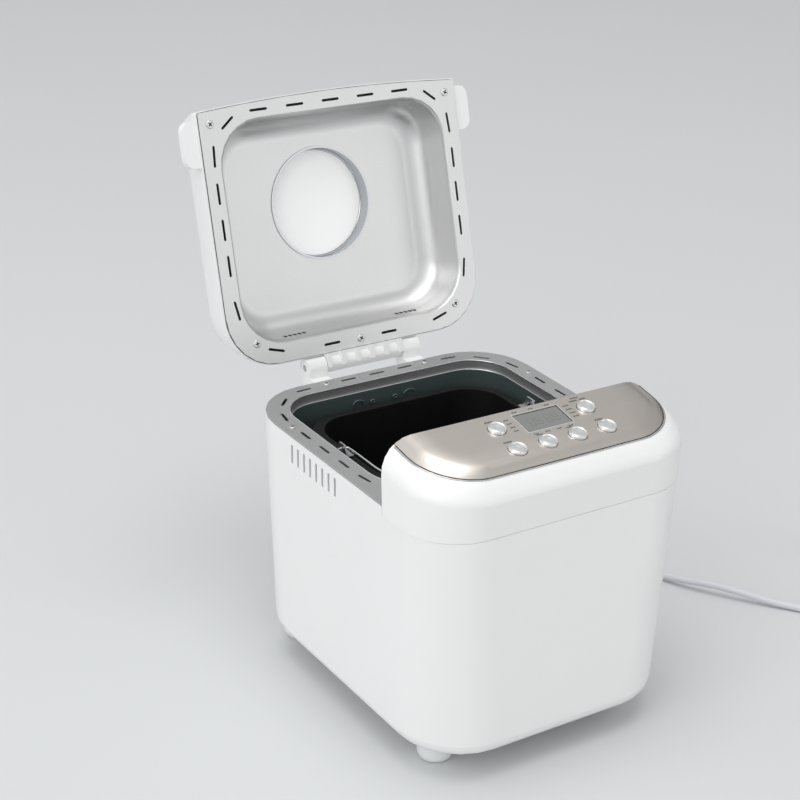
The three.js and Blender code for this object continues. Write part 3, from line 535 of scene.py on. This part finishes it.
# %% Screws
def screw_head(radius, height):
    bm = bmesh.new()
    bmesh.ops.create_circle(bm, cap_ends=True, segments=32, radius=radius * MM)
    bmesh.ops.translate(bm, verts=bm.verts, vec=(0, 0, height * MM))
    arm, reach = 0.17 * radius * MM, 0.56 * radius * MM
    for offset in (-reach, -arm, arm, reach):
        for axis in ((1, 0, 0), (0, 1, 0)):
            geometry = bm.verts[:] + bm.edges[:] + bm.faces[:]
            spot = Vector(axis) * offset
            bmesh.ops.bisect_plane(bm, geom=geometry, dist=0.0000001, plane_co=spot, plane_no=axis)
    rim = [edge for edge in bm.edges if edge.is_boundary]
    skirt = bmesh.ops.extrude_edge_only(bm, edges=rim)["geom"]
    low = [item for item in skirt if isinstance(item, bmesh.types.BMVert)]
    bmesh.ops.translate(bm, verts=low, vec=(0, 0, -height * MM))
    cross = []
    for face in bm.faces:
        x, y, _ = (abs(v) for v in face.calc_center_median())
        if abs(face.normal.z) > 0.5 and min(x, y) < arm * 0.9 and max(x, y) < reach:
            cross.append(face)
    bmesh.ops.bevel(
        bm, geom=rim, offset=height * 0.75 * MM, segments=3, profile=0.5, affect="EDGES", material=-1
    )
    cross = [face for face in cross if face.is_valid]
    sunk = bmesh.ops.extrude_face_region(bm, geom=cross)["geom"]
    bmesh.ops.delete(bm, geom=[face for face in cross if face.is_valid], context="FACES_ONLY")
    lowered = [item for item in sunk if isinstance(item, bmesh.types.BMVert)]
    bmesh.ops.translate(bm, verts=lowered, vec=(0, 0, -height * 0.7 * MM))
    # The sunk cross gets the near-black finish: painted shade in the recess.
    for item in sunk:
        if isinstance(item, bmesh.types.BMFace):
            item.material_index = 1
    return bm


RIM_Z, LID_PLANE = 222, 223.5
RIM_SCREWS = [(-50.4, 117.4), (50.4, 117.4), (-119, 56.9), (119, 56.9)]
LID_SCREWS = [(-116.8, -73.5), (116.8, -73.5), (-101.4, 113), (101.4, 113), (0, 126.2)]
for number, (x, y) in enumerate(RIM_SCREWS, 1):
    head = screw_head(2.9, 1.0)
    turned = Matrix.Rotation(math.radians(25 * number), 4, "Z")
    bmesh.ops.transform(head, matrix=Matrix.Translation(place(x, y, RIM_Z)) @ turned, verts=head.verts)
    new_piece(
        f"rim_screw_head_{number}", head, "housing", "screws", screw_steel, hollow_painted_shade,
        stands_for=[f"rim_screw_{number}"],
    )
for number, (x, y) in enumerate(LID_SCREWS, 1):
    head = screw_head(3.5, 1.1)
    turned = Matrix.Rotation(math.pi, 4, "X") @ Matrix.Rotation(math.radians(20 + 25 * number), 4, "Z")
    matrix = open_lid @ Matrix.Translation(place(x, y, LID_PLANE)) @ turned
    bmesh.ops.transform(head, matrix=matrix, verts=head.verts)
    new_piece(
        f"lid_screw_head_{number}", head, "lid", "screws", screw_steel, hollow_painted_shade,
        stands_for=[f"lid_screw_{number}"],
    )
print("screws made:", len(RIM_SCREWS) + len(LID_SCREWS))

# %% [markdown]
# ## Buttons
# Each button is a turned metal cap: a spun face with fine circular grooves, a narrow groove round it and
# a raised bright ring. Turning a profile round an axis gives just that. Its flat coordinates are kept in
# a UV map before it is moved to the panel, so that the grooves run round its own middle.

# %% The spun finish
spun = Finish("button_spun", Metallic=1.0)
flat_place = spun.node("ShaderNodeUVMap", {"uv_map": "flat"})
distance = spun.node("ShaderNodeVectorMath", {"operation": "LENGTH"}, {0: flat_place}, output="Value")
grooves = (distance * 16000).math("SINE")
spun.drive("Base Color", spun.blend(grooves * 0.5 + 0.5, (0.86, 0.86, 0.855), (0.95, 0.95, 0.945)))
spun.drive("Roughness", 0.26 + 0.06 * spun.noise(0.002))
spun.drive("Normal", spun.bump(grooves, 0.000016))
button_spun = spun.material

# %% Turned buttons
BUTTONS = {
    "menu": (-35, -105.4), "weight": (-35, -132.8), "colour": (-6.4, -132.8),
    "timer_down": (22.1, -132.8), "timer_up": (50.6, -132.8), "start": (50.6, -105.4),
}
CAP = [                                     # radius and height of the turned profile
    (0, 1.75), (3, 1.8), (5.2, 1.95), (5.5, 1.85), (5.65, 1.4), (5.95, 1.4), (6.1, 1.9),
    (6.5, 2.25), (6.9, 2.3), (7.25, 2.0), (7.45, 1.4), (7.5, 0.6), (7.5, -4.2), (0, -4.2),
]
for name, (x, y) in BUTTONS.items():
    cap = lathe(CAP, 48)
    layer = cap.loops.layers.uv.new("flat")
    for face in cap.faces:
        for loop in face.loops:
            loop[layer].uv = loop.vert.co.xy
    bmesh.ops.transform(cap, matrix=on_panel(x, y), verts=cap.verts)
    new_piece(f"{name}_cap", cap, name, "buttons", button_spun, stands_for=[f"{name}_button"])
print("buttons turned:", len(BUTTONS))

# %% [markdown]
# ## Marks, display frame and segments
# The panel is printed with small labels beside the buttons and the display. Here they are plain dashes,
# thin raised strokes of ink that stand for no letters. The display has a narrow bright frame, and its
# window shows faint segments that are switched off.

# %% Printed dashes
DASH = [1.1, 0.7, 1.3, 0.9, 1.2]            # widths of the strokes in one label, in millimetres
LABELS = [                                  # x, y, number of strokes and their height
    (-36, -95.4, 5, 1.7), (-37, -122.2, 5, 1.7), (-7, -122.6, 4, 1.2), (21, -122.6, 4, 1.2),
    (50, -122.4, 5, 1.6), (46, -94.6, 5, 1.5), (55, -94.6, 4, 1.5), (49, -91.4, 5, 1.3),
]
LABELS += [(-21.5, -98 - 4.7 * row, 3, 1.2) for row in range(4)]
LABELS += [(36, -98 - 4.7 * row, 4, 1.2) for row in range(4)]
LABELS += [(-9 + 15.5 * step, -91.4, 3, 1.2) for step in range(3)]
LABELS += [(-9 + 11 * step, -121, 3, 1.1) for step in range(4)]
ink = bmesh.new()
for x, y, count, tall in LABELS:
    reach = sum(DASH[:count]) + 0.5 * (count - 1)
    start = -reach / 2
    for stroke in DASH[:count]:
        block(ink, (start, -tall / 2, -0.02), (start + stroke, tall / 2, 0.04), on_panel(x, y))
        start += stroke + 0.5
new_piece("panel_marks", ink, "housing", "panel", mark_ink)

# %% Display frame and segments
DISPLAY_X, DISPLAY_Y, DISPLAY_W, DISPLAY_D = 7.6, -106.3, 43, 23.6
display_place = on_panel(DISPLAY_X, DISPLAY_Y)
FRAME_WIDTH, FRAME_HEIGHT = 0.85, 0.35
outer_x, outer_y = DISPLAY_W / 2 + 0.75, DISPLAY_D / 2 + 0.75
inner_x, inner_y = outer_x - FRAME_WIDTH, outer_y - FRAME_WIDTH
bezel = bmesh.new()
for low_x, low_y, high_x, high_y in (
    (-outer_x, inner_y, outer_x, outer_y),
    (-outer_x, -outer_y, outer_x, -inner_y),
    (-outer_x, -inner_y, -inner_x, inner_y),
    (inner_x, -inner_y, outer_x, inner_y),
):
    block(bezel, (low_x, low_y, 0), (high_x, high_y, FRAME_HEIGHT), display_place)
new_piece("display_frame", bezel, "housing", "display", frame_bright)

segments = bmesh.new()
for column in (-10.5, -3.5, 5.5, 12.5):
    for row in (-4.6, 0, 4.6):
        block(segments, (column - 1.7, row - 0.3, -0.5), (column + 1.7, row + 0.3, -0.44), display_place)
    for offset in (-2.2, 2.2):
        x = column + offset
        for row in (-2.3, 2.3):
            block(segments, (x - 0.3, row - 1.8, -0.5), (x + 0.3, row + 1.8, -0.44), display_place)
new_piece("display_segments", segments, "housing", "display", segment_grey)

# %% [markdown]
# ## Trim along the panel and beads round the oven
# A bright trim follows the panel's front edge, with a dark strip inside it that is painted shade in the
# joint. Round the oven's mouth the rim plate is rolled over at the top and meets the liner at the bottom
# of its flange. All of them are
# long thin round shapes, so each is a curve with a small bevel depth. The trim's height is read from the
# console by casting rays down on it.


# %% Rounded outlines
def arc(x, y, radius, first, last, step=6):
    """Points of an arc about (x, y), from one angle to another in degrees."""
    angles = [math.radians(degrees) for degrees in range(first, last + 1, step)]
    return [(x + radius * math.cos(a), y + radius * math.sin(a)) for a in angles]


def outline_points(half, front, back, front_radius, back_radius):
    """Points of a rounded oblong round its front; it is open at the back unless that has a radius too."""
    left, right = -half + front_radius, half - front_radius
    points = arc(left, front + front_radius, front_radius, 180, 270)
    points += arc(right, front + front_radius, front_radius, 270, 360)
    if not back_radius:
        return [(-half, back)] + points + [(half, back)]
    points += arc(half - back_radius, back - back_radius, back_radius, 0, 90)
    return points + arc(-half + back_radius, back - back_radius, back_radius, 90, 180)


def dropped(surface, points, lift):
    """Each point moved down on to a node's surface, and then lifted by some millimetres."""
    shape = bmesh.new()
    shape.from_mesh(nodes[surface].data)
    tree = BVHTree.FromBMesh(shape)
    landed = []
    for x, y in points:
        spot = tree.ray_cast(place(x, y, 320), Vector((0, 0, -1)))[0]
        if spot is not None:
            landed.append(spot + Vector((0, 0, lift * MM)))
    return landed


# %% Trim and beads
def round_strip(name, points, radius, material, cyclic=False, body="housing"):
    curve_piece(name, points, radius * MM, material, body, cyclic, sides=3, steps=2)


outside = dropped("console_housing", outline_points(117.9, -152.5, -90, 47.3, 0), 0)
inside = dropped("control_panel", outline_points(116.1, -150.7, -90, 45.5, 0), 0)
joint_line = [(a + 2 * b) / 3 + Vector((0, 0, -0.1 * MM)) for a, b in zip(outside, inside)]
trim_line = [a + Vector((0, 0, 0.12 * MM)) for a in outside]
# The dark joint strip is painted shade in the gap between panel and console.
round_strip("panel_joint", joint_line, 0.5, hollow_painted_shade)
round_strip("panel_trim", trim_line, 0.55, trim_steel)
mouth = outline_points(108.1, -76.8, 106.3, 36, 36)
round_strip("rim_bead", [place(x, y, 221.7) for x, y in mouth], 0.65, bright_steel, cyclic=True)
seam = outline_points(107.4, -76.1, 105.6, 35.5, 35.5)
round_strip("flange_bead", [place(x, y, 213.3) for x, y in seam], 0.7, bright_steel, cyclic=True)
print("trim of", len(trim_line), "points")

# %% [markdown]
# ## Small pressings and slots
# The liner's rear wall is pressed with two ovals and two arcs. The wall of the lid's recess next to the
# hinge has two rows of five short slots.

# %% Pressings, lid joint and slots
WALL_Y, PRESSING_Z = 103.6, 203
PRESSINGS = [(-26, 5.6, 3.6), (-11.3, 2.2, 1.3), (11.3, 2.2, 1.3), (26, 5.6, 3.6)]   # x and half sizes
for number, (x, wide, tall) in enumerate(PRESSINGS, 1):
    closed = wide < 3
    turns = [math.radians(d) for d in (range(0, 360, 20) if closed else range(-10, 200, 15))]
    points = [place(x + wide * math.cos(t), WALL_Y, PRESSING_Z + tall * math.sin(t)) for t in turns]
    round_strip(f"liner_pressing_{number}", points, 0.75, oven_coat, cyclic=closed)

# The lid's front edge bows out by BOW between its corners, so points are put in along it.
BOW, FRONT_HALF, FRONT_Y, JOINT_Z = 5, 125.1, -83.6, LID_PLANE + 1.1
edge_points = outline_points(126.7, FRONT_Y, 132.9, 1.6, 45)
first_right = next(i for i, (x, y) in enumerate(edge_points) if x > 0)
bowed = []
for step in range(1, 12):
    across = -FRONT_HALF + 2 * FRONT_HALF * step / 12
    bowed.append((across, FRONT_Y - BOW * (1 - (across / FRONT_HALF) ** 2)))
edge_points[first_right:first_right] = bowed
joint = [open_lid @ place(x, y, JOINT_Z) for x, y in edge_points]
# A near-black strip along the lid's edge: painted shade in the gap where shell and liner meet.
round_strip("lid_joint", joint, 0.45, hollow_painted_shade, cyclic=True, body="lid")

# Each slot is a near-black block on the wall: painted shade in place of the slot's hollow.
slots = bmesh.new()
in_lid = open_lid @ Matrix.Translation((0, SHIFT_Y, 0))
for group in (-57, 57):
    for step in range(-2, 3):
        x = group + 4.6 * step
        block(slots, (x - 0.8, 113.2, 235.5), (x + 0.8, 114.6, 240), in_lid)
new_piece("recess_slots", slots, "lid", "lid_liner", hollow_painted_shade)
print("pressings and slots made")

# %% [markdown]
# ## Floor and light
# A pale floor and wide soft lights, as in a small product studio.

# %% Stage
floor_mesh = bpy.data.meshes.new("floor")
bm = bmesh.new()
bmesh.ops.create_grid(bm, x_segments=1, y_segments=1, size=7)
bm.to_mesh(floor_mesh)
bm.free()
floor = bpy.data.objects.new("floor", floor_mesh)
scene.collection.objects.link(floor)
paper = Finish("floor_paper", Roughness=0.75)
tone = paper.blend(paper.noise(0.6, 2.0), (0.635, 0.645, 0.655), (0.655, 0.665, 0.675))
paper.drive("Base Color", tone)
floor_mesh.materials.append(paper.material)


def softbox(name, where, aim, size, power):
    lamp = bpy.data.lights.new(name, "AREA")
    lamp.shape = "RECTANGLE"
    lamp.size, lamp.size_y = size
    lamp.energy = power
    made = bpy.data.objects.new(name, lamp)
    scene.collection.objects.link(made)
    direction = Vector(aim) - Vector(where)
    made.rotation_euler = direction.to_track_quat("-Z", "Y").to_euler()
    made.location = where


softbox("key", (-2.7, -1.0, 2.1), (0, 0, 0.15), (2.0, 2.0), 22)
softbox("card", (1.8, -2.9, 1.0), (0, 0.1, 0.33), (2.4, 1.7), 10)
softbox("overhead", (-0.3, -0.2, 3.2), (0, 0, 0), (2.0, 2.0), 30)
SKY_LEVEL, SKY_FALL = 0.73, -0.28        # brighter on the left, darker on the right
world = bpy.data.worlds.new("studio")
world.use_nodes = True
sky = world.node_tree.nodes
ground = sky["Background"]
ground.inputs["Color"].default_value = (0.98, 0.99, 1.0, 1)
direction = sky.new("ShaderNodeTexCoord")
axes = sky.new("ShaderNodeSeparateXYZ")
fall = sky.new("ShaderNodeMath")
fall.operation = "MULTIPLY_ADD"
fall.inputs[1].default_value = SKY_FALL
fall.inputs[2].default_value = SKY_LEVEL
world.node_tree.links.new(direction.outputs["Generated"], axes.inputs[0])
world.node_tree.links.new(axes.outputs["X"], fall.inputs[0])
world.node_tree.links.new(fall.outputs[0], ground.inputs["Strength"])
scene.world = world
scene.view_settings.view_transform = "Standard"
